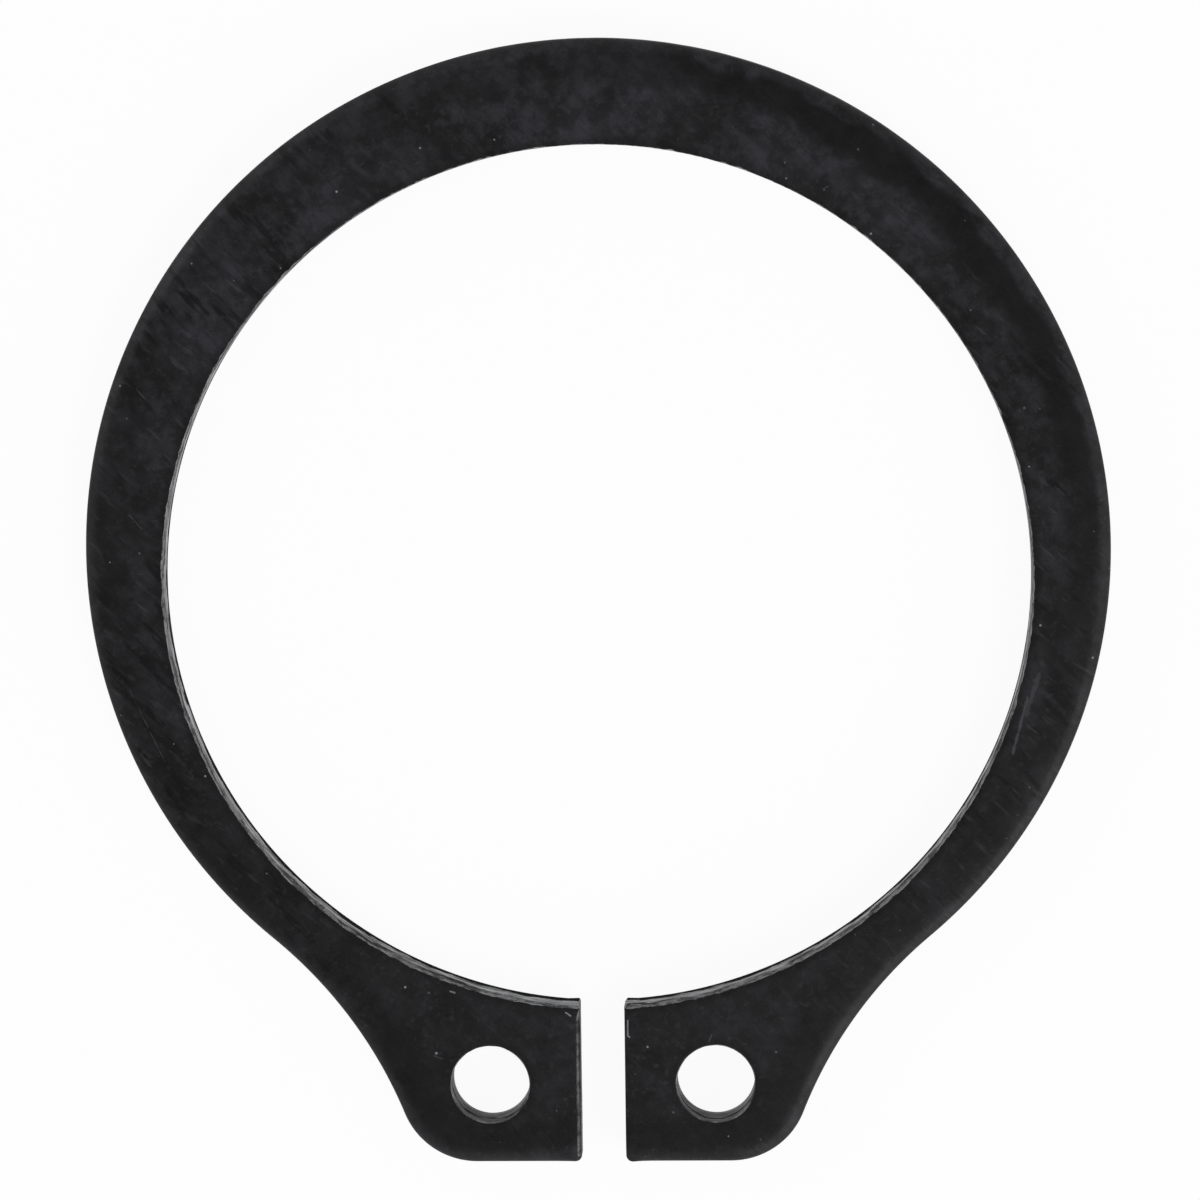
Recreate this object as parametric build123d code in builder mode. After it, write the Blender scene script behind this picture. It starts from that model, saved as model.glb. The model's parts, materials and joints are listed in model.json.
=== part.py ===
"""External retaining ring for a 25 mm shaft, stamped from flat spring steel.

Millimetres. The origin is the axis of the bore, halfway through the strip. The ring lies flat in XY,
with its gap and its two eared ends towards -Y. +Z is the face that the blanking die has rounded.
"""

import os

from build123d import *

# The strip, and the bore with the ring relaxed
strip_thickness = 1.2
bore_diameter = 23.2

# The band is widest at its back, opposite the gap, and tapers evenly towards the ears
back_width = 2.8
neck_width = 1.36

# The eared ends
gap_width = 1.2
ears_span = 11.1
ear_depth = 4.3
ear_corner_radius = 2.1
flank_radius = 12.2

# The plier holes, one in each ear
plier_hole_diameter = 2.1
plier_hole_spacing = 6.1
plier_hole_rise = 2.2

# The edges that blanking, piercing and slitting leave
rim_roll_radius = 0.28
piercing_roll_radius = 0.15
gap_edge_radius = 0.18

# Worked out from the sizes above
bore_radius = bore_diameter / 2
band_radius = bore_radius + (back_width + neck_width) / 2
band_centre = (0, (back_width - neck_width) / 2)
band_back = (0, bore_radius + back_width)
ear_end = -(bore_radius + ear_depth)
ear_corner_centre = (ears_span / 2 - ear_corner_radius, ear_end + ear_corner_radius)
ear_corner_foot = (ear_corner_centre[0], ear_end)
plier_hole_level = ear_end + plier_hole_rise
lower_face = Plane.XY.offset(-strip_thickness / 2)


with BuildPart() as ring:
    # The blank: an off-centre arc for the band, then a hollow flank, a round corner and a flat end on each ear
    with BuildSketch(lower_face):
        with BuildLine():
            band_circle = CenterArc(band_centre, band_radius, -90, 180, mode=Mode.PRIVATE)
            corner_circle = CenterArc(ear_corner_centre, ear_corner_radius, -90, 180, mode=Mode.PRIVATE)
            flank = ConstrainedArcs(
                (band_circle, Tangency.OUTSIDE),
                (corner_circle, Tangency.OUTSIDE),
                radius=flank_radius,
                selector=lambda arcs: arcs.sort_by(Axis.X)[-1],
            )
            TangentArc(band_back, flank @ 0, tangent=(1, 0))
            TangentArc(flank @ 1, ear_corner_foot, tangent=flank % 1)
            Line(ear_corner_foot, (0, ear_end))
            mirror(about=Plane.YZ)
        make_face()
    extrude(amount=strip_thickness)

    # The die rolls the whole outer rim over on the upper face
    fillet(ring.faces().sort_by(Axis.Z)[-1].edges(), radius=rim_roll_radius)

    # The bore and the plier holes are pierced from below, so their rolled edge is on the lower face
    Hole(radius=bore_radius)
    with Locations(
        (plier_hole_spacing / 2, plier_hole_level),
        (-plier_hole_spacing / 2, plier_hole_level),
    ):
        Hole(radius=plier_hole_diameter / 2)
    fillet(ring.faces().sort_by(Axis.Z)[0].inner_wires().edges(), radius=piercing_roll_radius)

    # The gap is slit last, from the ends of the ears to the bore
    with BuildSketch(lower_face):
        with Locations((0, ear_end)):
            Rectangle(gap_width, -ear_end, align=(Align.CENTER, Align.MIN))
    extrude(amount=strip_thickness, mode=Mode.SUBTRACT)
    # Slitting rounds the upper edges, over the rim and down the corner of each ear
    fillet(ring.edges().filter_by(Axis.Y).group_by(Axis.Z)[-1], radius=gap_edge_radius)

os.makedirs("parts", exist_ok=True)
ring.part.label = "retaining_ring"
export_step(ring.part, "parts/retaining_ring.step")
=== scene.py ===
import json
import math

import bpy
import numpy as np
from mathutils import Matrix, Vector, geometry, kdtree, noise


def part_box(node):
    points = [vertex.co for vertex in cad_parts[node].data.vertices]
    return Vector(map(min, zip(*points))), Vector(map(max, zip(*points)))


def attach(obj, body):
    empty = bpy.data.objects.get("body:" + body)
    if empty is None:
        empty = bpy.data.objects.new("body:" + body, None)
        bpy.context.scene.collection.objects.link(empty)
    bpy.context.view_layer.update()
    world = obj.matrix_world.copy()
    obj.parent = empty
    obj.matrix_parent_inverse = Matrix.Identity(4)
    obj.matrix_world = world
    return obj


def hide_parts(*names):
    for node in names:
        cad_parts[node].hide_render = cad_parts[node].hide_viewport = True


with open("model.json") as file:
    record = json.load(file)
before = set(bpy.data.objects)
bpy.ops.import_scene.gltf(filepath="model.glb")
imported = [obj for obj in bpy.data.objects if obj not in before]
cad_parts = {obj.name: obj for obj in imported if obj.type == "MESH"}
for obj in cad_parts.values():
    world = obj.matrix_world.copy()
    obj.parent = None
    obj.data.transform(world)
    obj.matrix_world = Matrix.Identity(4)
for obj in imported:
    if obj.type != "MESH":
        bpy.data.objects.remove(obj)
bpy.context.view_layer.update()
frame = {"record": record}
mm = 0.001


# ---- The blank's outline -------------------------------------------------------------------------
# One flat strip of spring steel, cut to this outline by a blanking die. An off-centre arc makes the
# band taper from its back to the ears, and the gap opens the ring. All lengths here are millimetres.
mounts = {m["name"]: m for m in frame["record"]["mounts"]}
low, high = (np.array(corner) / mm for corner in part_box("retaining_ring"))
thickness = high[2] - low[2]
bore_radius = mounts["shaft_seat"]["dims"]["r_mm"]
band_radius = high[0]
box_margin = 0.001
back_end = high[1] - box_margin
band_centre = np.array((0, back_end - band_radius))
ear_end = low[1] + box_margin
gap_width = 1.2
gap_corner_radius = 0.18
ear_corner_radius = 2.1
ear_corner_side = 3.45
ear_corner_centre = np.array((ear_corner_side, ear_end + ear_corner_radius))
flank_radius = 12.2

# The spacing of points along the outline, the bore and the plier holes
step = 0.085
bore_step = 0.06
hole_step = 0.05


def straight(start, end, normal):
    """Points and outward normals along a straight stretch, without its end point."""
    start, end = np.array(start), np.array(end)
    count = max(2, round(np.linalg.norm(end - start) / step))
    share = np.arange(count)[:, None] / count
    return start + (end - start) * share, np.tile(np.array(normal, float), (count, 1))


def arc(centre, radius, first, last, outward=1, spacing=step):
    """Points and outward normals along an arc, without its end point."""
    count = max(12, round(abs(last - first) * radius / spacing))
    angles = first + (last - first) * np.arange(count) / count
    rays = np.column_stack((np.cos(angles), np.sin(angles)))
    return centre + radius * rays, outward * rays


def angle_of(vector):
    """The direction of a vector, in radians from +X."""
    return math.atan2(vector[1], vector[0])


def flank_centre():
    """The centre of the hollow flank, outside the band and outside the ear's corner."""
    to_band, to_corner = band_radius + flank_radius, ear_corner_radius + flank_radius
    between = ear_corner_centre - band_centre
    span = np.linalg.norm(between)
    along = (to_band**2 - to_corner**2 + span**2) / (2 * span)
    across = math.sqrt(to_band**2 - along**2)
    unit = between / span
    return band_centre + along * unit + across * np.array((-unit[1], unit[0]))


half_gap = gap_width / 2
bore_corner = (half_gap, -math.sqrt(bore_radius**2 - half_gap**2))
gap_foot = ear_end + gap_corner_radius
flank = flank_centre()
toward_band = angle_of(flank - band_centre)
toward_corner = angle_of(flank - ear_corner_centre)
half = [
    straight(bore_corner, (half_gap, gap_foot), (-1, 0)),
    arc(np.array((half_gap + gap_corner_radius, gap_foot)), gap_corner_radius, math.pi, 1.5 * math.pi),
    straight((half_gap + gap_corner_radius, ear_end), (ear_corner_centre[0], ear_end), (0, -1)),
    arc(ear_corner_centre, ear_corner_radius, -math.pi / 2, toward_corner),
    arc(flank, flank_radius, toward_corner + math.pi, toward_band + math.pi, -1),
    arc(band_centre, band_radius, toward_band, math.pi / 2),
]
half_points = np.vstack([points for points, _ in half] + [[(0, back_end)]])
half_normals = np.vstack([outward for _, outward in half] + [[(0, 1)]])
flip = np.array((-1, 1))
bore_start = angle_of(flip * bore_corner) % (2 * math.pi)
bore_end = angle_of(bore_corner)
bore_points, bore_normals = arc(np.zeros(2), bore_radius, bore_start, bore_end, -1, bore_step)
bore_points, bore_normals = bore_points[1:], bore_normals[1:]
outline = np.vstack((half_points, (half_points * flip)[::-1][1:], bore_points))
normals = np.vstack((half_normals, (half_normals * flip)[::-1][1:], bore_normals))
rim_count = len(outline) - len(bore_points)

# At the bore's two corners, the wall leans between the gap's side and the bore's
for corner in (0, rim_count - 1):
    normals[corner] += -outline[corner] / bore_radius


# ---- The edges -----------------------------------------------------------------------------------
# Blanking draws the outer rim down and rolls it over, burnishes the first half of the wall and breaks
# the rest away. Piercing from below does the same to the bore and the plier holes, from the other face.
rim_roll = 0.22
rim_roll_width = 0.33
rim_droop = 0.055
droop_width = 1.15
piercing_roll = 0.15
left_gap_roll = 0.12
right_gap_roll = 0.05
roll_fade = 0.3
deepening_lead = 0.25
burr = 0.012
rolled_from = 2.5 * burr

# The broken part of the wall starts at this share of the thickness, and tapers away from the land
land_end = 0.62
break_fade = 0.12
break_taper = 0.05
break_roughness = 0.02
break_grain = (5, 7)
ragged_from = 0.84
bore_raggedness = 1
hole_raggedness = 0.25

# Noise along the edges: its size, its seed and its height, with a level to pass for the nicks
break_waves = ((1.6, 3.1, 0.09), (0.35, 5.2, 0.05))
nick_waves = ((0.5, 8.4, 0.05, 0.15), (0.24, 2.7, 0.035, 0.1), (0.12, 6.1, 0.02, 0))

# How finely the rolls and the walls between them are divided
roll_steps = 6
wall_steps = 9

# The finish of each stretch, and how far a wall is cut clean: the left side of the gap and the holes
FACE, LAND, DARK = 0, 1, 2
gap_cut = 1.0
hole_cut = 0.78


def along(points):
    """The distance of each point from the first, along the outline."""
    return np.concatenate(([0], np.cumsum(np.linalg.norm(np.diff(points, axis=0), axis=1))))


def smooth(low_edge, high_edge, value):
    """A soft step from 0 to 1 between two edges."""
    share = np.clip((value - low_edge) / (high_edge - low_edge), 0, 1)
    return share * share * (3 - 2 * share)


def wander(points, size, seed):
    """Slow noise from about -1 to 1 at each point, for what varies along an edge."""
    return np.array([noise.noise(Vector((x / size, y / size, seed))) for x, y in points])


def droop(from_rim):
    """How far the upper face is drawn down at this distance from the outer rim."""
    return rim_droop * np.clip(1 - from_rim / droop_width, 0, 1) ** 2


def skirt(points, outward, upper, width, lower, off_rim, pierced, ragged):
    """The wall under an outline: its vertices by level, and how far each lies from the rolled side.

    upper and width are the depth and width of the roll at its top, lower is the roll at its foot.
    """
    turn = np.linspace(0, math.pi / 2, roll_steps + 1)
    rows = []
    for a in turn:
        inset = width * (1 - math.sin(a))
        rows.append((inset, upper * (1 - math.cos(a)) + droop(off_rim + inset)))
    top = rows[-1][1]
    straight_height = thickness - top - lower
    for share in np.arange(1, wall_steps) / wall_steps:
        rows.append((np.zeros(len(points)), top + share * straight_height))
    for a in turn:
        rows.append((lower * (1 - math.cos(a)), thickness - lower * (1 - math.sin(a))))
    breaking = sum(wander(points, size, seed) * height for size, seed, height in break_waves)
    nicks = np.zeros(len(points))
    for size, seed, height, level in nick_waves:
        nicks += np.clip(wander(points, size, seed) - level, 0, 1) * height
    across, down = break_grain
    vertices, shears = [], []
    for inset, depth in rows:
        shear = np.where(pierced, 1 - depth / thickness, depth / thickness)
        broken = smooth(land_end, land_end + break_fade, shear + breaking)
        grain = np.array([
            noise.noise(Vector((x * across, y * across, d * down))) for (x, y), d in zip(points, depth)
        ])
        torn = break_taper * (shear - land_end) + break_roughness * np.abs(grain)
        inset = inset + ragged * (broken * torn + nicks * smooth(ragged_from, 1, shear))
        flat = points - outward * inset[:, None]
        vertices.append(np.column_stack((flat, high[2] - depth)))
        shears.append(shear)
    return np.array(vertices), np.array(shears)


# The outer wall's rolls: shallow along the gap, then deepening and widening into the rim's
rim_length = along(outline[:rim_count])
from_corner = np.minimum(rim_length, rim_length[-1] - rim_length)
gap_length = np.linalg.norm(np.array(bore_corner) - (half_gap, gap_foot))
past_corner = gap_length + 0.5 * math.pi * gap_corner_radius
gap_roll = np.where(outline[:rim_count, 0] > 0, right_gap_roll, left_gap_roll)
to_rim = smooth(past_corner, past_corner + 2 * roll_fade, from_corner)
gap_rolls = burr + (gap_roll - burr) * np.clip(from_corner / roll_fade, 0, 1)
deepening = smooth(gap_length - deepening_lead, past_corner, from_corner)
rim_rolls = gap_rolls * (1 - deepening) + rim_roll * deepening
rim_widths = gap_rolls * (1 - to_rim) + rim_roll_width * to_rim
on_gap = from_corner < gap_length
left_gap = on_gap & (outline[:rim_count, 0] < 0)
gap_off_rim = np.where(on_gap, gap_length - from_corner, 0)

# The bore's roll is on the lower face, and fades out towards the gap
bore_length = along(outline[rim_count:])
from_gap = np.minimum(bore_length, bore_length[-1] - bore_length)
bore_rolls = np.interp(from_gap, (0, roll_fade), (burr, piercing_roll))
bore_burrs = np.full(len(bore_rolls), burr)
pierced = np.arange(len(outline)) >= rim_count

upper_rolls = np.concatenate((rim_rolls, bore_burrs))
upper_widths = np.concatenate((rim_widths, bore_burrs))
lower_rolls = np.concatenate((np.full(rim_count, burr), bore_rolls))
off_rim = np.concatenate((gap_off_rim, np.full(len(bore_rolls), droop_width)))
rolls = (upper_rolls, upper_widths, lower_rolls)
walls = [skirt(outline, normals, *rolls, off_rim, pierced, bore_raggedness)]
wall_finish = [np.concatenate((np.where(left_gap, LAND, DARK), np.full(len(bore_rolls), LAND)))]
wall_cut = [np.concatenate((left_gap * gap_cut, 0 * bore_rolls))]
loops = [outline]
holes = []
for name in ("plier_hole_left", "plier_hole_right"):
    centre = np.array(mounts[name]["pos_m"][:2]) / mm
    radius = mounts[name]["dims"]["r_mm"]
    holes.append((centre, radius))
    hole_points, hole_normals = arc(centre, radius, 2 * math.pi, 0, -1, hole_step)
    same = np.ones(len(hole_points))
    rolls = (2 * burr * same, 2 * burr * same, piercing_roll * same)
    walls.append(skirt(hole_points, hole_normals, *rolls, droop_width * same, same > 0, hole_raggedness))
    wall_finish.append(np.full(len(same), LAND))
    wall_cut.append(hole_cut * same)
    loops.append(hole_points)


# ---- The ring's mesh -----------------------------------------------------------------------------
# The walls are laid in quads from level to level. The two faces are filled with even triangles, and
# rolling the strip has left them very slightly wavy.
face_step = 0.19
face_jitter = 0.2
face_seed = 11
edge_margin = face_step * 0.5
wave_height = 0.005
wave_length = 2.2
join_distance = 1e-7
crease_angle = math.radians(50)
vertices, shears, cuts, faces, finishes, edge_loops = [], [], [], [], [], []
for (grid, shear), finish, sawn in zip(walls, wall_finish, wall_cut):
    first = sum(len(v) for v in vertices)
    levels, count = grid.shape[:2]
    index = first + np.arange(levels * count).reshape(levels, count)
    vertices.append(grid.reshape(-1, 3))
    shears.append(shear.reshape(-1))
    cuts.append(np.tile(sawn, levels))
    edge_loops.append((index[0], index[-1]))
    upper_depth = np.abs(grid[0, :, 2] - grid[roll_steps, :, 2])
    lower_depth = np.abs(grid[-1, :, 2] - grid[-1 - roll_steps, :, 2])
    for level in range(levels - 1):
        in_upper = level < roll_steps
        in_lower = level >= levels - 1 - roll_steps
        roll_depth = upper_depth if in_upper else lower_depth
        for i in range(count):
            after = (i + 1) % count
            faces.append((index[level, i], index[level + 1, i], index[level + 1, after], index[level, after]))
            if (in_upper or in_lower) and roll_depth[i] > rolled_from and not sawn[i]:
                finishes.append(FACE if in_upper else DARK)
            else:
                finishes.append(finish[i])


def inside(points, loop):
    """Which points lie inside a closed loop."""
    within = np.zeros(len(points), bool)
    for (x0, y0), (x1, y1) in zip(loop, np.roll(loop, -1, axis=0)):
        crosses = (y0 > points[:, 1]) != (y1 > points[:, 1])
        if crosses.any():
            at = x0 + (points[:, 1] - y0) * (x1 - x0) / (y1 - y0 if y1 != y0 else 1)
            within ^= crosses & (points[:, 0] < at)
    return within


def tree_of(points):
    """A search tree that finds the nearest of these points."""
    tree = kdtree.KDTree(len(points))
    for i, point in enumerate(points):
        tree.insert((point[0], point[1], 0), i)
    tree.balance()
    return tree


rim_tree = tree_of(outline[:rim_count][from_corner > gap_length])


def fill(side, up):
    """Fills one face between the walls' edge loops with triangles of about face_step."""
    edge_index = np.concatenate([pair[side] for pair in edge_loops])
    placed = np.vstack(vertices)
    edge = placed[edge_index, :2]
    rng = np.random.default_rng(face_seed + side)
    xs = np.arange(low[0], high[0], face_step)
    ys = np.arange(low[1], high[1], face_step)
    spots = np.array([(x + face_step / 2 * (row % 2), y) for row, y in enumerate(ys) for x in xs])
    spots = spots + rng.uniform(-face_jitter, face_jitter, spots.shape) * face_step
    spots = spots[inside(spots, edge[: len(outline)])]
    for centre, radius in holes:
        spots = spots[np.linalg.norm(spots - centre, axis=1) > radius]
    tree = tree_of(edge)
    spots = spots[[tree.find((*spot, 0))[2] > edge_margin for spot in spots]]
    constraints, start = [], 0
    for pair in edge_loops:
        count = len(pair[side])
        constraints += [(start + i, start + (i + 1) % count) for i in range(count)]
        start += count
    flat = [Vector(p) for p in np.vstack((edge, spots))]
    found, _, triangles, origin, _, _ = geometry.delaunay_2d_cdt(flat, constraints, [], 0, join_distance)
    middles = np.array([np.mean([found[i] for i in t], axis=0) for t in triangles])
    keep = inside(middles, edge[: len(outline)])
    start = len(outline)
    for pair in edge_loops[1:]:
        keep &= ~inside(middles, edge[start : start + len(pair[side])])
        start += len(pair[side])
    level = high[2] if up else low[2]
    sink = 0.5 + 0.5 * wander(spots, wave_length, side)
    offset = wave_height * sink * (-1 if up else 1)
    if up:
        offset -= droop(np.array([rim_tree.find((*spot, 0))[2] for spot in spots]))
    base = len(placed)
    vertices.append(np.column_stack((spots, level + offset)))
    shears.append(np.zeros(len(spots)))
    cuts.append(np.zeros(len(spots)))
    numbers = np.concatenate((edge_index, base + np.arange(len(spots))))
    for triangle, kept in zip(triangles, keep):
        if kept:
            corners = [int(numbers[origin[i][0]]) for i in triangle]
            faces.append(corners if up else corners[::-1])
            finishes.append(FACE)


fill(0, True)
fill(-1, False)
mesh = bpy.data.meshes.new("retaining_ring_blank")
placed = np.vstack(vertices)
mesh.from_pydata(placed * mm, [], [tuple(int(i) for i in face) for face in faces])
mesh.polygons.foreach_set("material_index", finishes)
hole_tree = tree_of(np.vstack([outline[rim_count:]] + loops[1:]))

# What the finish needs to know at each point: its place across the wall, and how far the edges are
marks = {
    "shear": np.concatenate(shears),
    "cut": np.concatenate(cuts),
    "from_rim": np.array([rim_tree.find((x, y, 0))[2] for x, y, _ in placed]),
    "from_hole": np.array([hole_tree.find((x, y, 0))[2] for x, y, _ in placed]),
}
for name, values in marks.items():
    mesh.attributes.new(name, "FLOAT", "POINT").data.foreach_set("value", values)
mesh.shade_smooth()
mesh.set_sharp_from_angle(angle=crease_angle)
ring = bpy.data.objects.new("ring_blank", mesh)
bpy.context.scene.collection.objects.link(ring)
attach(ring, "root")
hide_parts("retaining_ring")


# ---- The finish ----------------------------------------------------------------------------------
# Black phosphate, dipped in oil: nearly black, with a bluish bloom where the crystals lie thicker,
# slanting marks left by rolling the strip, and bright specks and scratches where it has been knocked.
# Painted light lies over it: a sheen towards the back, glints, shade inside the rim and by the holes,
# and a paler rim.
def node(tree, kind, inputs=(), **settings):
    """A new node with its settings, and with a value or another node's output in each input."""
    made = tree.nodes.new(kind)
    for key, value in settings.items():
        setattr(made, key, value)
    for key, value in dict(inputs).items():
        if isinstance(value, bpy.types.NodeSocket):
            tree.links.new(value, made.inputs[key])
        else:
            made.inputs[key].default_value = value
    return made


def number(tree, operation, *values, clamp=False):
    """Arithmetic on numbers."""
    inputs = dict(enumerate(values))
    return node(tree, "ShaderNodeMath", inputs, operation=operation, use_clamp=clamp).outputs[0]


def most(tree, *values):
    """The largest of several masks."""
    largest = values[0]
    for value in values[1:]:
        largest = number(tree, "MAXIMUM", largest, value)
    return largest


def product(tree, *values):
    """Several masks multiplied together."""
    result = values[0]
    for value in values[1:]:
        result = number(tree, "MULTIPLY", result, value)
    return result


def ramp(tree, value, from_low, from_high, to_low=0.0, to_high=1.0):
    """A soft step: to_low at from_low, to_high at from_high, and level beyond them."""
    inputs = {"Value": value, "From Min": from_low, "From Max": from_high}
    inputs.update({"To Min": to_low, "To Max": to_high})
    return node(tree, "ShaderNodeMapRange", inputs, interpolation_type="SMOOTHSTEP").outputs["Result"]


def vector(tree, operation, *values, output="Vector", **inputs):
    """Arithmetic on places and directions."""
    given = {**dict(enumerate(values)), **inputs}
    return node(tree, "ShaderNodeVectorMath", given, operation=operation).outputs[output]


def blend_colours(tree, share, first, second):
    """A share of the second colour over the first."""
    made = node(tree, "ShaderNodeMix", {"Factor": share}, data_type="RGBA")
    for socket, value in ((made.inputs[6], first), (made.inputs[7], second)):
        if isinstance(value, bpy.types.NodeSocket):
            tree.links.new(value, socket)
        else:
            socket.default_value = (*value, 1)
    return made.outputs[2]


def noise_at(tree, place, scale, detail=3.0, rough=0.5, distortion=0.0):
    """Cloudy noise from 0 to 1."""
    inputs = {"Vector": place, "Scale": scale, "Detail": detail, "Roughness": rough}
    inputs["Distortion"] = distortion
    return node(tree, "ShaderNodeTexNoise", inputs).outputs["Fac"]


def millimetres(tree):
    """Places on the ring in millimetres."""
    place = node(tree, "ShaderNodeTexCoord").outputs["Object"]
    return vector(tree, "SCALE", place, Scale=1 / mm)


def slanted(tree, place, turn, stretch):
    """Places turned about the ring's axis, then stretched."""
    turned = node(tree, "ShaderNodeMapping", {"Vector": place, "Rotation": (0, 0, turn)}).outputs[0]
    return vector(tree, "MULTIPLY", turned, stretch)


def attribute(tree, name):
    """One of the numbers stored at the mesh's points."""
    return node(tree, "ShaderNodeAttribute", attribute_name=name).outputs["Fac"]


def new_material(name):
    """An empty material and its node tree."""
    material = bpy.data.materials.new(name)
    material.use_nodes = True
    material.node_tree.nodes.clear()
    return material, material.node_tree


def new_effect(name, inputs, outputs):
    """An empty node group: its tree, what it is given and what it returns."""
    group = bpy.data.node_groups.new(name, "ShaderNodeTree")
    for label, kind in inputs.items():
        group.interface.new_socket(label, in_out="INPUT", socket_type=kind)
    for label, kind in outputs.items():
        group.interface.new_socket(label, in_out="OUTPUT", socket_type=kind)
    given = group.nodes.new("NodeGroupInput").outputs
    result = group.nodes.new("NodeGroupOutput").inputs
    return group, given, result


def effect(tree, group, **inputs):
    """What a node group returns for these inputs."""
    return node(tree, "ShaderNodeGroup", inputs, node_tree=group).outputs


FLOAT, VECTOR = "NodeSocketFloat", "NodeSocketVector"

# Cloudy crystals: broad clouds, a finer mottle inside them, and the grain of the coat.
crystals, given, result = new_effect(
    "Phosphate crystals",
    {"Place": VECTOR, "Coarseness": FLOAT},
    {"Cloud": FLOAT, "Mottle": FLOAT, "Grain": FLOAT},
)
place = vector(crystals, "SCALE", given["Place"], Scale=given["Coarseness"])
cloud = ramp(crystals, noise_at(crystals, place, 0.42, 3, 0.55), 0.36, 0.64)
mottle = ramp(crystals, noise_at(crystals, place, 1.5, 8, 0.72), 0.40, 0.62)
crystals.links.new(cloud, result["Cloud"])
crystals.links.new(mottle, result["Mottle"])
crystals.links.new(noise_at(crystals, place, 13, 5, 0.7), result["Grain"])

# Bright specks: small round spots scattered a set distance apart.
specks, given, result = new_effect(
    "Bright specks",
    {"Place": VECTOR, "Spacing": FLOAT, "Radius": FLOAT},
    {"Speck": FLOAT},
)
place = vector(specks, "SCALE", given["Place"], Scale=number(specks, "DIVIDE", 1.0, given["Spacing"]))
scatter = node(specks, "ShaderNodeTexVoronoi", {"Vector": place, "Scale": 1.0})
distance = number(specks, "MULTIPLY", scatter.outputs["Distance"], given["Spacing"])
tone = node(specks, "ShaderNodeSeparateColor", {0: scatter.outputs["Color"]}).outputs[0]
speck_edge = number(specks, "MULTIPLY", given["Radius"], ramp(specks, tone, 0, 1, 0.35, 1.1))
spot = node(specks, "ShaderNodeMapRange", {"Value": distance, "From Min": speck_edge, "From Max": 0.0})
specks.links.new(ramp(specks, spot.outputs["Result"], 0, 0.6), result["Speck"])

# One scratch: a straight stroke from its start along its run, thinning out where the coat holds.
scratch, given, result = new_effect(
    "Scratch",
    {"Place": VECTOR, "Start": VECTOR, "Run": VECTOR, "Width": FLOAT},
    {"Stroke": FLOAT},
)
from_start = vector(scratch, "SUBTRACT", given["Place"], given["Start"])
gone = vector(scratch, "DOT_PRODUCT", from_start, given["Run"], output="Value")
whole = vector(scratch, "DOT_PRODUCT", given["Run"], given["Run"], output="Value")
progress = number(scratch, "DIVIDE", gone, whole, clamp=True)
nearest = vector(scratch, "SCALE", given["Run"], Scale=progress)
away = vector(scratch, "LENGTH", vector(scratch, "SUBTRACT", from_start, nearest), output="Value")
uneven = ramp(scratch, noise_at(scratch, given["Place"], 5, 3, 0.6), 0.3, 0.65, 0.35, 1)
stroke_edge = number(scratch, "MULTIPLY", given["Width"], uneven)
core = node(scratch, "ShaderNodeMapRange", {"Value": away, "From Min": stroke_edge, "From Max": 0.0})
scratch.links.new(ramp(scratch, core.outputs["Result"], 0, 0.7), result["Stroke"])

# The coat's colours, from its deepest black to steel laid bare
thin_coat = (0.0075, 0.0074, 0.0076)
# The thicker bloom, shown more strongly towards the back as a painted sheen
thick_coat_and_sheen = (0.0345, 0.0342, 0.0410)
rolled_line = (0.0068, 0.0066, 0.0067)
dark_stroke = (0.0032, 0.0031, 0.0032)
# Pale glints: painted highlights along the rolling marks
pale_glint = (0.042, 0.042, 0.048)
pale_freckle = (0.040, 0.040, 0.044)
# The black of the painted shade inside the rim and by the holes
painted_shade_black = (0.0045, 0.0043, 0.0043)
# The grey of the painted sheen on the rolled rim
rim_sheen_grey = (0.030, 0.030, 0.031)
bare_steel = (0.30, 0.30, 0.34)

phosphate, tree = new_material("black_phosphate")
place = millimetres(tree)
coat = effect(tree, crystals, Place=place, Coarseness=1.0)
side, length, _ = node(tree, "ShaderNodeSeparateXYZ", {0: place}).outputs
from_rim, from_hole = attribute(tree, "from_rim"), attribute(tree, "from_hole")

# The bloom's clouds are the coat's own, but how strongly they show is a painted sheen: strong at the
# back of the band and weak on the ears.
back = ramp(tree, length, -10, 13, 0.42, 0.95)
clouded = number(tree, "ADD", product(tree, coat["Mottle"], 0.62), product(tree, coat["Cloud"], 0.38))
base = blend_colours(tree, product(tree, back, clouded), thin_coat, thick_coat_and_sheen)

# Rolling marks run down from left to right: broad faint lines, and short dark strokes in patches.
line_place = slanted(tree, place, math.radians(44), (0.5, 1.9, 1))
line = noise_at(tree, line_place, 1.0, 5, 0.6)
stroke_place = slanted(tree, place, math.radians(47), (0.85, 4.6, 1))
stroke = ramp(tree, noise_at(tree, stroke_place, 1.0, 2, 0.5, 0.3), 0.5, 0.66)
stroke_patch = ramp(tree, noise_at(tree, place, 0.33, 2, 0.5), 0.40, 0.56)
on_sides = ramp(tree, number(tree, "ABSOLUTE", side), 5, 10.5, 0.3, 1)
strokes = product(tree, stroke, stroke_patch, on_sides)
lined = blend_colours(tree, ramp(tree, line, 0.46, 0.66, 0, 0.6), base, rolled_line)
stroked = blend_colours(tree, product(tree, strokes, 0.85), lined, dark_stroke)
# Pale slanting dashes along the rolling marks are painted glints.
glint_place = slanted(tree, place, math.radians(42), (1.1, 5.2, 1.7))
glint = product(tree, ramp(tree, noise_at(tree, glint_place, 1.0, 2, 0.5), 0.6, 0.72), on_sides, 0.5)
glinting = blend_colours(tree, glint, stroked, pale_glint)
freckles = product(tree, ramp(tree, noise_at(tree, place, 5.5, 4, 0.6), 0.56, 0.72), 0.4)
freckled = blend_colours(tree, freckles, glinting, pale_freckle)
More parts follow.
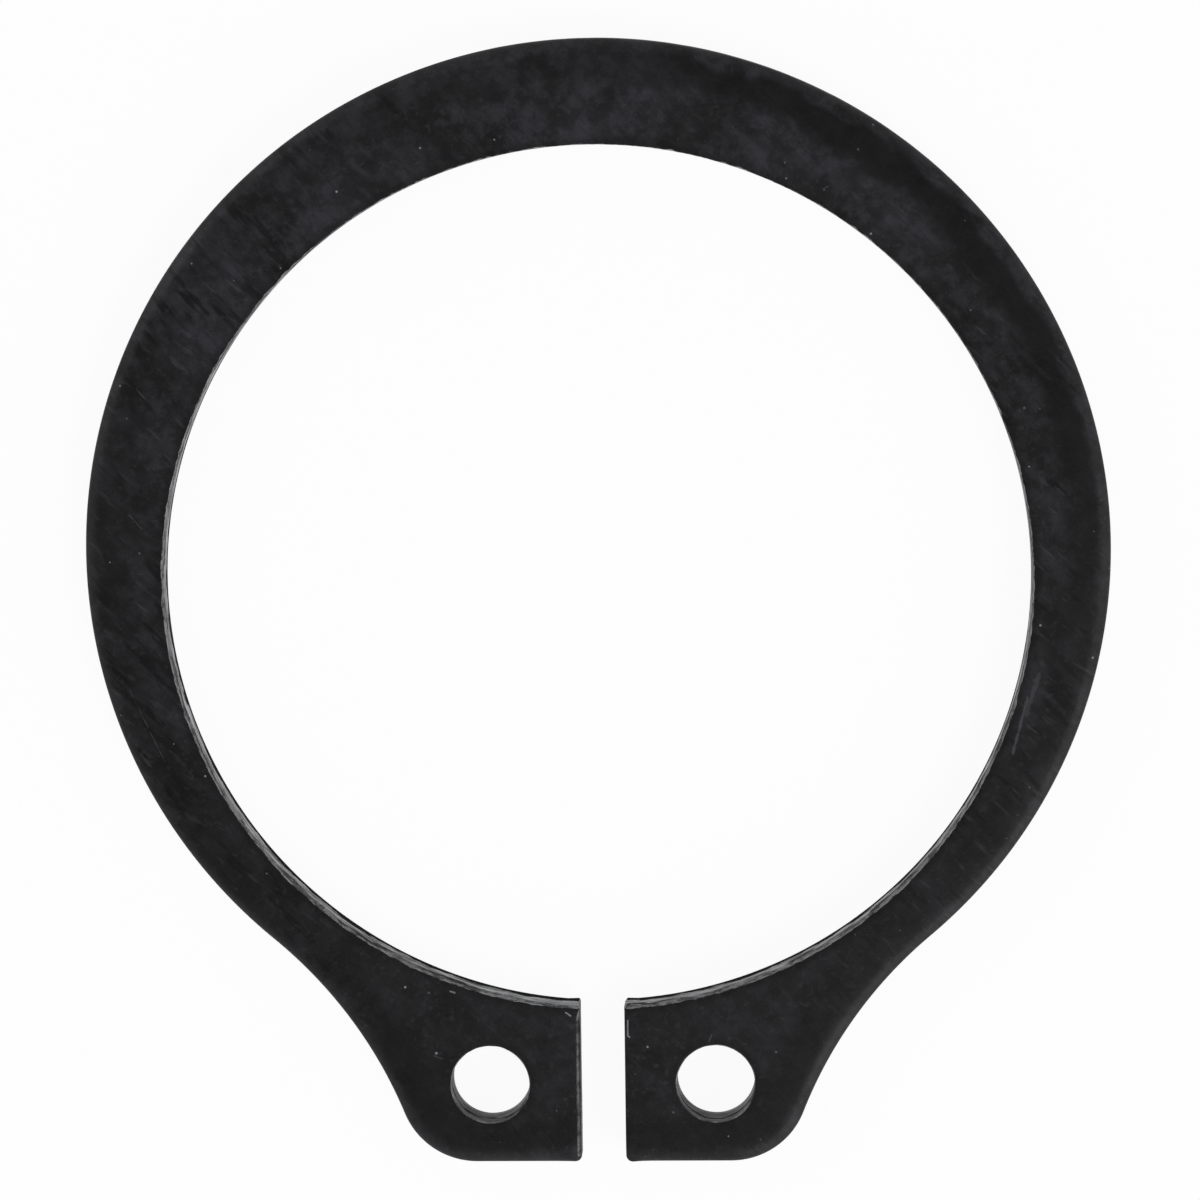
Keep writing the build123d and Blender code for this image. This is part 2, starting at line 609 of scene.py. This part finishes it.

# A dark band inside the drawn-down rim is painted shade, widest at the upper right and also laid on
# the ears, and the rolled edge itself is painted paler as a sheen. A thin dark line of painted shadow
# follows the bore and the plier holes.
rim_drift = ramp(tree, noise_at(tree, place, 0.8, 3, 0.5), 0.3, 0.7, -0.12, 0.12)
rim_wander = number(tree, "ADD", from_rim, rim_drift)
rightward = vector(tree, "DOT_PRODUCT", place, (0.0567, 0.0484, 0), output="Value")
upper_right = ramp(tree, rightward, 0.6, 0.93, 0.35, 1)
on_ears = ramp(tree, length, -10.5, -12.5, 0, 0.75)
band_shade_strength = most(tree, upper_right, on_ears)
# The band and the line by the holes are painted shade.
band = product(tree, ramp(tree, rim_wander, 0.22, 0.45), ramp(tree, rim_wander, 1.45, 0.85), band_shade_strength)
hole_line = ramp(tree, from_hole, 0.3, 0.08, 0, 0.55)
shade_painted = blend_colours(tree, product(tree, most(tree, band, hole_line), 0.85), freckled, painted_shade_black)
# The rolled rim is painted paler as a sheen, and the same mask makes it rougher where rubbed.
rim_rub_and_sheen = product(tree, ramp(tree, from_rim, 0.36, 0.05), ramp(tree, coat["Mottle"], 0, 1, 0.55, 1))
rim_sheened = blend_colours(tree, product(tree, rim_rub_and_sheen, 0.3), shade_painted, rim_sheen_grey)

# Knocks: specks all over, one long faint scratch on the right arm, and short ones by the gap. Each
# scratch has its start, its run, its width and how bare it is.
scratches = (
    ((11.76, -2.57), (-0.36, -1.1), 0.12, 0.07),
    ((11.46, -3.2), (-0.4, -1.5), 0.07, 0.11),
    ((-12.73, -2.49), (1.06, -2.29), 0.024, 0.12),
    ((0.69, -11.95), (0.0, -0.42), 0.035, 0.55),
    ((0.69, -12.37), (0.05, -0.04), 0.04, 0.7),
    ((-0.98, -11.72), (0.13, -0.09), 0.04, 0.6),
    ((-4.1, -11.12), (0.12, -0.04), 0.04, 0.45),
    ((2.95, -12.35), (-0.08, -0.2), 0.03, 0.12),
    ((-4.55, -12.9), (0.24, -0.1), 0.03, 0.1),
    ((-12.2, 5.3), (0.24, -0.28), 0.028, 0.1),
    ((-12.45, 1.9), (0.34, -0.4), 0.028, 0.1),
    ((6.1, 10.4), (0.12, 0.05), 0.04, 0.12),
)
scratched = 0.0
for start, run, width, bareness in scratches:
    inputs = {"Start": (*start, high[2]), "Run": (*run, 0.0), "Width": width}
    drawn = effect(tree, scratch, Place=place, **inputs)["Stroke"]
    scratched = number(tree, "MAXIMUM", scratched, product(tree, drawn, bareness))
fine = effect(tree, specks, Place=place, Spacing=0.74, Radius=0.042)["Speck"]
turned_place = slanted(tree, place, 0.6, (1, 1, 1))
faint = effect(tree, specks, Place=turned_place, Spacing=0.62, Radius=0.045)["Speck"]
knocks = most(tree, scratched, product(tree, fine, 0.7), product(tree, faint, 0.2))
colour = blend_colours(tree, knocks, rim_sheened, bare_steel)

# The sheen is dulled along the rolling lines and where the rim is rubbed, and grainy all over.
line_sheen = ramp(tree, line, 0.3, 0.7, 0.38, 0.48)
grain_sheen = ramp(tree, coat["Grain"], 0.3, 0.7, -0.04, 0.06)
roughness = number(tree, "ADD", number(tree, "ADD", line_sheen, product(tree, rim_rub_and_sheen, 0.16)), grain_sheen)
height = number(tree, "ADD", coat["Grain"], product(tree, stroke, stroke_patch, -0.8))
bump = node(tree, "ShaderNodeBump", {"Height": height, "Strength": 1.0, "Distance": 0.007 * mm})
skin = node(
    tree,
    "ShaderNodeBsdfPrincipled",
    {"Base Color": colour, "Roughness": roughness, "Specular IOR Level": 0.17, "Normal": bump.outputs[0]},
)
node(tree, "ShaderNodeOutputMaterial", {"Surface": skin.outputs[0]})
mesh.materials.append(phosphate)

# The bore's wall: a burnished land drawn out along the edge, then the torn break with its bright lip.
sheared, tree = new_material("burnished_wall")
place = millimetres(tree)
coat = effect(tree, crystals, Place=place, Coarseness=1.6)
shear = attribute(tree, "shear")
wobble = ramp(tree, noise_at(tree, place, 1.1, 4, 0.6), 0.3, 0.7, -0.1, 0.1)
across_wall = number(tree, "ADD", shear, wobble)
broken = ramp(tree, across_wall, 0.68, 0.78)
drag = noise_at(tree, slanted(tree, place, 0, (1.3, 1.3, 9)), 1.0, 4, 0.62, 0.25)
land = blend_colours(tree, ramp(tree, drag, 0.36, 0.62), (0.07, 0.07, 0.072), (0.40, 0.404, 0.42))
torn = blend_colours(tree, ramp(tree, coat["Mottle"], 0.2, 0.8), (0.015, 0.015, 0.015), (0.17, 0.17, 0.173))
cut = attribute(tree, "cut")
uncut = number(tree, "SUBTRACT", 1.0, cut)
sheared_wall = blend_colours(tree, product(tree, broken, uncut), land, torn)
clean_cut = blend_colours(tree, coat["Mottle"], (0.024, 0.024, 0.024), (0.080, 0.080, 0.082))
wall = blend_colours(tree, cut, sheared_wall, clean_cut)

# A dark crease parts the land from the break, its black a painted shade, and the edges of both catch
# the light as painted highlights: the lip at the break and the back rim in the holes.
crease = product(tree, ramp(tree, across_wall, 0.60, 0.68), ramp(tree, across_wall, 0.82, 0.74))
crease_mask = product(tree, crease, ramp(tree, coat["Cloud"], 0.1, 0.6), 0.9)
crease_shaded = blend_colours(tree, crease_mask, wall, (0.005, 0.005, 0.005))
lip = product(tree, ramp(tree, shear, 0.9, 0.985), ramp(tree, noise_at(tree, place, 1.7, 3, 0.6), 0.46, 0.6))
flecks = effect(tree, specks, Place=place, Spacing=0.4, Radius=0.06)["Speck"]
in_hole = product(tree, ramp(tree, cut, 0.4, 0.7), ramp(tree, cut, 1.0, 0.8))
back_lip = product(tree, ramp(tree, shear, 0.32, 0.22), ramp(tree, coat["Cloud"], 0.1, 0.5), in_hole)
bright = most(tree, product(tree, lip, 0.6), product(tree, flecks, broken, 0.7), product(tree, back_lip, 0.8))
lit = blend_colours(tree, bright, crease_shaded, (0.34, 0.345, 0.36))

# The rolled edge at the foot of the land is painted black as contact shade, and is made dull.
shaded_foot = product(tree, ramp(tree, across_wall, 0.42, 0.32), uncut)
colour = blend_colours(tree, shaded_foot, lit, (0.003, 0.003, 0.003))
dull = most(tree, shaded_foot, product(tree, crease, 0.8))
height = number(tree, "ADD", product(tree, drag, 0.4), product(tree, coat["Grain"], broken))
bump = node(tree, "ShaderNodeBump", {"Height": height, "Strength": 1.0, "Distance": 0.03 * mm})
skin = node(
    tree,
    "ShaderNodeBsdfPrincipled",
    {
        "Base Color": colour,
        "Roughness": most(tree, ramp(tree, drag, 0.36, 0.62, 0.55, 0.3), dull),
        "Metallic": ramp(tree, dull, 0, 1, 0.6, 0),
        "Specular IOR Level": 0.12,
        "Normal": bump.outputs[0],
    },
)
node(tree, "ShaderNodeOutputMaterial", {"Surface": skin.outputs[0]})
mesh.materials.append(sheared)

# Elsewhere the walls have kept their black coat: the land shows only as a slightly smoother belt.
coated, tree = new_material("coated_wall")
place = millimetres(tree)
coat = effect(tree, crystals, Place=place, Coarseness=2.2)
shear = attribute(tree, "shear")
broken = ramp(tree, shear, 0.58, 0.72)
drag = noise_at(tree, slanted(tree, place, 0, (1.3, 1.3, 7)), 1.0, 4, 0.62, 0.25)
mottled = blend_colours(tree, coat["Mottle"], (0.014, 0.0136, 0.013), (0.080, 0.078, 0.076))
belt = blend_colours(tree, ramp(tree, drag, 0.4, 0.62), (0.03, 0.03, 0.03), (0.11, 0.11, 0.11))
on_belt = product(tree, ramp(tree, shear, 0.1, 0.22), ramp(tree, broken, 1, 0))
walled = blend_colours(tree, on_belt, mottled, belt)
flecks = effect(tree, specks, Place=place, Spacing=0.33, Radius=0.045)["Speck"]
in_patches = ramp(tree, coat["Cloud"], 0.1, 0.45)
# A thin bright lip just past the roll, in patches, is a painted highlight.
lip = product(tree, ramp(tree, shear, 0.30, 0.22), ramp(tree, shear, 0.1, 0.16), in_patches)
bright = most(tree, product(tree, flecks, 0.35), product(tree, lip, 0.9))
colour = blend_colours(tree, bright, walled, (0.45, 0.45, 0.45))
height = number(tree, "ADD", product(tree, drag, 0.4), product(tree, coat["Grain"], broken))
bump = node(tree, "ShaderNodeBump", {"Height": height, "Strength": 1.0, "Distance": 0.03 * mm})
skin = node(
    tree,
    "ShaderNodeBsdfPrincipled",
    {
        "Base Color": colour,
        "Roughness": ramp(tree, broken, 0, 1, 0.55, 0.8),
        "Specular IOR Level": 0.06,
        "Normal": bump.outputs[0],
    },
)
node(tree, "ShaderNodeOutputMaterial", {"Surface": skin.outputs[0]})
mesh.materials.append(coated)


# ---- The table, the light and the camera ---------------------------------------------------------
# The ring lies on white paper under a large soft lamp at each side, and the camera looks down on it
# from a hand's width away, leaning a little past its back.
paper_mesh = bpy.data.meshes.new("paper")
paper_half = 3.0
paper_level = low[2] * mm
paper_corners = [
    (x * paper_half, y * paper_half, paper_level) for x, y in ((-1, -1), (1, -1), (1, 1), (-1, 1))
]
paper_mesh.from_pydata(paper_corners, [], [(0, 1, 2, 3)])
paper = bpy.data.objects.new("paper", paper_mesh)
bpy.context.scene.collection.objects.link(paper)

# The paper glows to the camera, a little less in reflections, and is matt white to all other light
white, tree = new_material("white_paper")
rays = node(tree, "ShaderNodeLightPath").outputs
seen = product(tree, rays["Is Camera Ray"], 0.94)
mirrored = product(tree, most(tree, rays["Is Glossy Ray"], rays["Is Transmission Ray"]), 0.4)
matt = node(tree, "ShaderNodeBsdfDiffuse", {"Color": (0.88, 0.88, 0.88, 1)})
glow = node(tree, "ShaderNodeEmission", {"Color": (1, 1, 1, 1), "Strength": 1.0})
white_share = most(tree, seen, mirrored)
paper_shader = node(tree, "ShaderNodeMixShader", {0: white_share, 1: matt.outputs[0], 2: glow.outputs[0]})
node(tree, "ShaderNodeOutputMaterial", {"Surface": paper_shader.outputs[0]})
paper_mesh.materials.append(white)

# The room is bright round the horizon and dim overhead
world = bpy.data.worlds.new("studio")
bpy.context.scene.world = world
world.use_nodes = True
tree = world.node_tree
tree.nodes.clear()
direction = node(tree, "ShaderNodeTexCoord").outputs["Generated"]
upward = node(tree, "ShaderNodeSeparateXYZ", {0: direction}).outputs[2]
brightness = ramp(tree, upward, 0.1, 0.95, 0.8, 0.08)
background = node(tree, "ShaderNodeBackground", {"Color": (1, 1, 1, 1), "Strength": brightness})
node(tree, "ShaderNodeOutputWorld", {"Surface": background.outputs[0]})


def lamp(name, azimuth, elevation, power, size, distance=0.5):
    """A square soft lamp that faces the ring."""
    light = bpy.data.lights.new(name, "AREA")
    light.energy = power
    light.size = size
    made = bpy.data.objects.new(name, light)
    bpy.context.scene.collection.objects.link(made)
    flat = math.cos(elevation) * distance
    made.location = (flat * math.cos(azimuth), flat * math.sin(azimuth), math.sin(elevation) * distance)
    made.rotation_euler = Vector(made.location).to_track_quat("Z", "Y").to_euler()


lamp("main_lamp", math.radians(-45), math.radians(38), 2.2, 0.45)
lamp("fill_lamp", math.radians(158), math.radians(40), 0.8, 0.34)

camera_distance = 0.130
camera_lean = (-0.141, 0.04, -0.0074)
framing = Vector((0.000097, -0.000476, camera_distance))
camera_data = bpy.data.cameras.new("camera")
camera_data.sensor_width = 36
camera_data.lens = 146.4
camera = bpy.data.objects.new("camera", camera_data)
bpy.context.scene.collection.objects.link(camera)
camera.rotation_mode = "ZYX"
camera.rotation_euler = camera_lean
facing = camera.rotation_euler.to_matrix()
camera.location = facing @ framing + Vector((0, 0, high[2] * mm))
bpy.context.scene.camera = camera
bpy.context.scene.view_settings.view_transform = "Standard"
